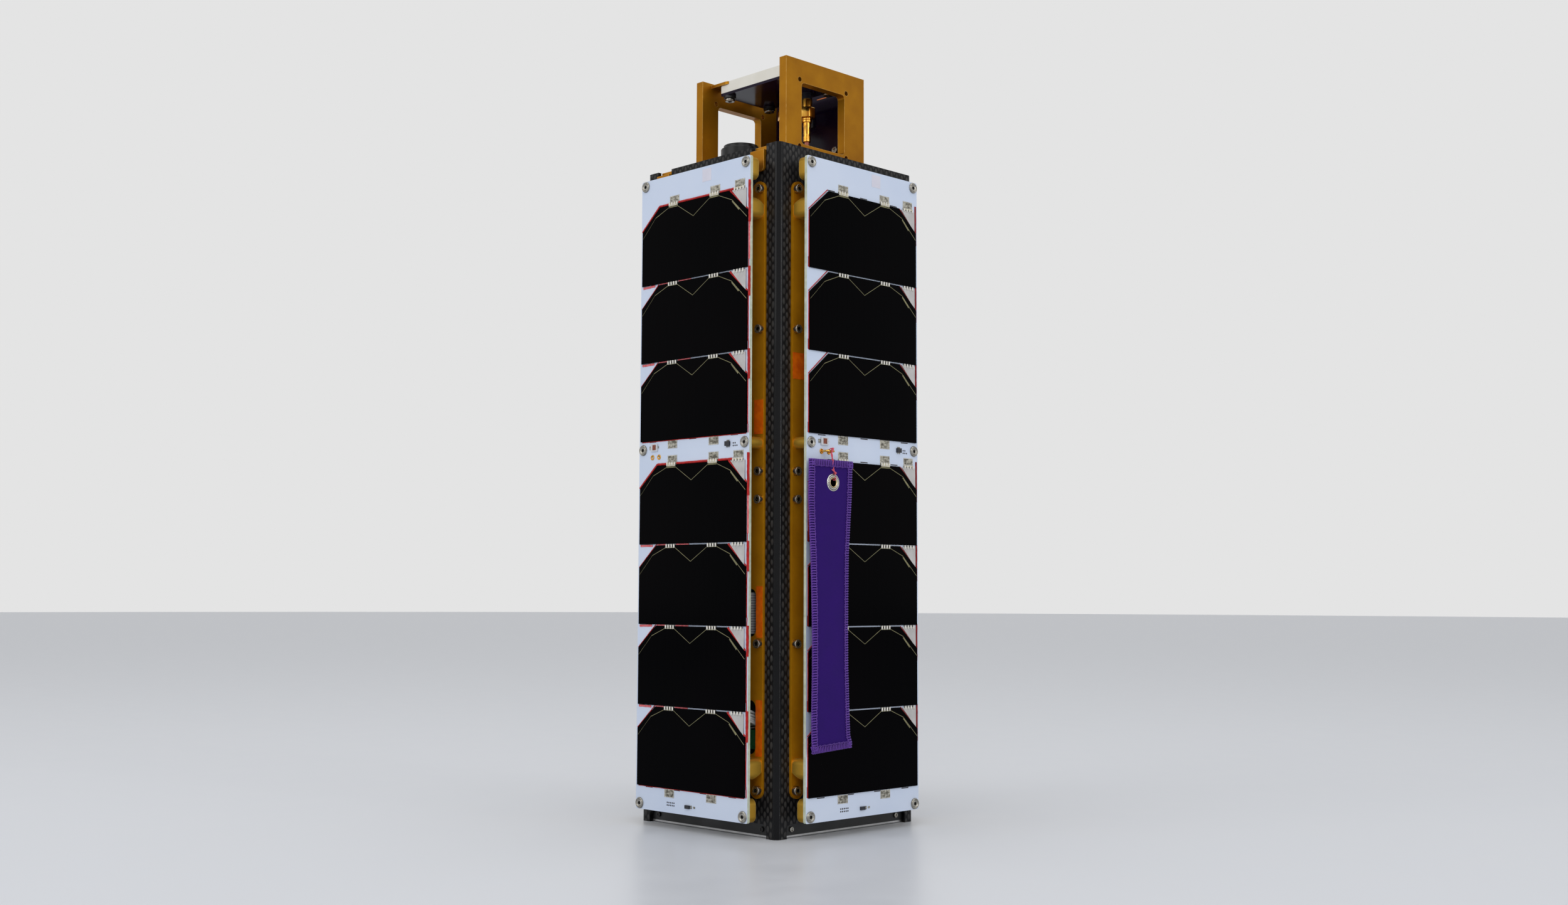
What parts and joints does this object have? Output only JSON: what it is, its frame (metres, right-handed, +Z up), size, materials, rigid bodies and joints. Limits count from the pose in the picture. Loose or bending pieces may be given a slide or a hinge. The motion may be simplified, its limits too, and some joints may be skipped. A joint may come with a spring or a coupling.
{
  "type": "cube satellite",
  "caption": "Tube shaped cube satellite with solar panels on gold rails, an antenna frame on its deck and a cloth tag hung from a pull-out shorting link.",
  "frame": {"origin": "centre of the square on the surface that the four rail feet stand on", "axes": "+Z up along the tube, +X out of the panel that carries the tag"},
  "size_m": [0.1285, 0.1236, 0.3922],
  "materials": {
    "carbon": "woven carbon fibre, satin",
    "black_plate": "black, satin",
    "bare_metal": "bare, machined",
    "steel": "bright",
    "gold": "gold anodised, satin",
    "stack": "plain",
    "wire": "white insulation",
    "board": "white solder mask",
    "cell": "dark cover glass",
    "tile": "white",
    "purple_board": "purple solder mask",
    "lens": "coated",
    "brass": "gold plated",
    "coax": "copper coloured jacket",
    "thread": "twisted",
    "cloth": "woven twill"
  },
  "bodies": {
    "satellite": {"carbon_body": "carbon", "base_frame": "black_plate", "base_plate": "bare_metal", "base_screws": "steel", "top_deck": "gold", "inner_stack": "stack", "inner_posts": "bare_metal", "rails_a": "gold", "rails_b": "gold", "rails_c": "gold", "rails_d": "gold", "strip_screws": "steel", "panel_screws": "steel", "harness": "wire", "panel_a": "board", "panel_b": "board", "panel_c": "board", "panel_d": "board", "cells_a": "cell", "cells_b": "cell", "cells_c": "cell", "cells_d": "cell", "frame_left": "gold", "frame_right": "gold", "antenna_tile": "tile", "antenna_board": "purple_board", "antenna_spacers": "black_plate", "antenna_screws": "steel", "rear_board": "purple_board", "lens_mount": "black_plate", "lens_barrel": "black_plate", "lens_glass": "lens", "radio_jacks": "brass", "radio_plugs": "brass", "radio_cables": "coax", "link_sockets": "brass"},
    "link": {"shorting_link": "brass"},
    "tag": {"tag_thread": "thread", "tag_eye": "steel", "flight_tag": "cloth"}
  },
  "joints": [
    {"name": "link_pull", "type": "slide", "parent": "satellite", "child": "link", "axis": [1, 0, 0], "range_m": [0, 0.012]},
    {"name": "tag_swing", "type": "hinge", "parent": "link", "child": "tag", "pos_m": [0.06504, -0.0282, 0.187], "axis": [0, -1, 0], "range_deg": [0, 100]}
  ]
}
